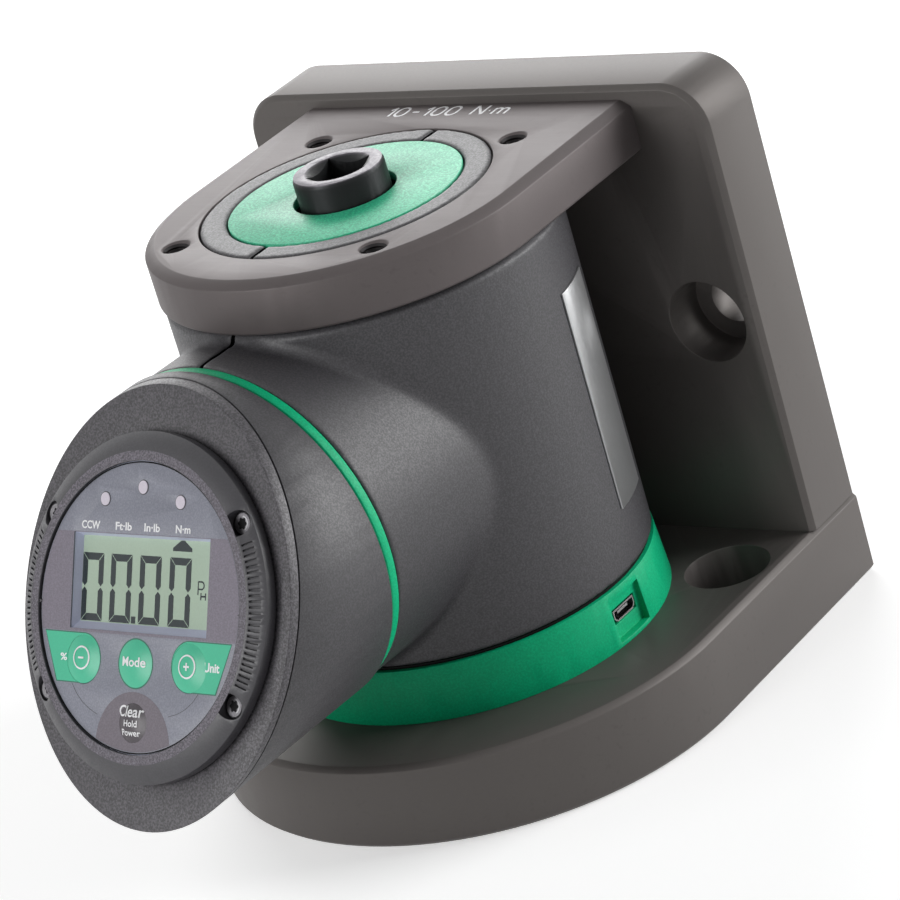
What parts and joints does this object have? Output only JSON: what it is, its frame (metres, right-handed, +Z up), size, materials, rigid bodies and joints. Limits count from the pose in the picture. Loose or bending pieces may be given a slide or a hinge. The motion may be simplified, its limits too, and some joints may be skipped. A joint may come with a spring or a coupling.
{
  "type": "torque tester",
  "caption": "Bench torque tester: steel fixture with a female square drive on top, a plastic housing that swivels round it and a tilted round display with keys on a turning head.",
  "frame": {"origin": "on the underside of the base plate, on the axis of the drive head", "axes": "+Z up along the drive head, +Y towards the back plate, +X to the right seen from the display's side; the neck points to -Y"},
  "size_m": [0.117, 0.1619, 0.1214],
  "materials": {
    "bracket_steel": "burnished dark grey steel, satin, ground edges",
    "black_steel": "black oxide",
    "tool_steel": "blackened tool steel, bright rim",
    "bright_steel": "plain steel",
    "chrome_shell": "nickel plated sheet",
    "brass": "nickel-free turned brass",
    "label_metal": "brushed silver foil plate, left blank",
    "green_plastic": "fine grain, satin",
    "dark_plastic": "fine spark grain, matt",
    "bezel_plastic": "fine grain, satin",
    "film": "blue-grey printed film, fine grain",
    "key_plastic": "domed green keys",
    "dark_key": "domed dark key in the dark zone of the film",
    "lcd": "grey-green liquid crystal under glass",
    "led_lens": "clear light guide",
    "white_plastic": "natural slide plastic",
    "black_slide": "black slide ring",
    "board": "green solder mask",
    "chips": "moulded chip bodies",
    "gauge_foil": "amber gauge film",
    "cell": "shrink sleeve, left blank"
  },
  "bodies": {
    "base": {"base_plate": "bracket_steel", "back_plate": "bracket_steel", "top_plate": "bracket_steel", "top_plate_screws": "black_steel", "back_plate_screws": "black_steel", "dowel_pins": "bright_steel", "transducer": "tool_steel", "transducer_screws": "black_steel", "strain_gauges": "gauge_foil", "gauge_board": "board", "gauge_board_parts": "chips", "board_spacers": "brass", "board_screws": "bright_steel", "base_ring": "green_plastic", "base_ring_screws": "bright_steel", "usb_socket": "chrome_shell", "usb_board": "board", "glide_ring": "black_slide"},
    "housing": {"housing_right": "dark_plastic", "housing_left": "dark_plastic", "housing_screws": "black_steel", "cover_disc": "green_plastic", "neck_ring": "green_plastic", "label_plate": "label_metal", "battery_holder": "chips", "battery_cells": "cell"},
    "head": {"head_shell": "dark_plastic", "head_back": "bezel_plastic", "head_back_screws": "bright_steel", "head_nut": "bezel_plastic", "head_washer": "bright_steel", "head_collar": "bezel_plastic", "display_glide": "white_plastic"},
    "display": {"display_case": "bezel_plastic", "display_nut": "bezel_plastic", "bezel": "bezel_plastic", "bezel_screws": "bright_steel", "front_panel": "film", "printed_film": "film", "lcd_frame": "white_plastic", "lcd_glass": "lcd", "display_board": "board", "display_chips": "chips", "key_switches": "bezel_plastic", "led_windows": "led_lens"},
    "minus": {"key_minus": "key_plastic"},
    "mode": {"key_mode": "key_plastic"},
    "plus": {"key_plus": "key_plastic"},
    "clear": {"key_clear": "dark_key"}
  },
  "joints": [
    {"name": "housing_swivel", "type": "hinge", "parent": "base", "child": "housing", "pos_m": [0, 0, 0.067], "axis": [0, 0, 1], "range_deg": [-86, 94]},
    {"name": "head_turn", "type": "hinge", "parent": "housing", "child": "head", "pos_m": [0, 0, 0.067], "axis": [-0.0698, -0.9976, 0], "range_deg": [-94.4, 85.6]},
    {"name": "display_turn", "type": "hinge", "parent": "head", "child": "display", "pos_m": [-0.00562, -0.0803, 0.067], "axis": [-0.0987, -0.8612, 0.4985], "range_deg": [-88.2, 91.8]},
    {"name": "press_minus", "type": "slide", "parent": "display", "child": "minus", "axis": [0.0987, 0.8612, -0.4985], "range_m": [0, 0.0005], "stiffness_N_per_m": 400, "springref_m": -0.0003},
    {"name": "press_mode", "type": "slide", "parent": "display", "child": "mode", "axis": [0.0987, 0.8612, -0.4985], "range_m": [0, 0.0005], "stiffness_N_per_m": 400, "springref_m": -0.0003},
    {"name": "press_plus", "type": "slide", "parent": "display", "child": "plus", "axis": [0.0987, 0.8612, -0.4985], "range_m": [0, 0.0005], "stiffness_N_per_m": 400, "springref_m": -0.0003},
    {"name": "press_clear", "type": "slide", "parent": "display", "child": "clear", "axis": [0.0987, 0.8612, -0.4985], "range_m": [0, 0.0005], "stiffness_N_per_m": 400, "springref_m": -0.0003}
  ]
}
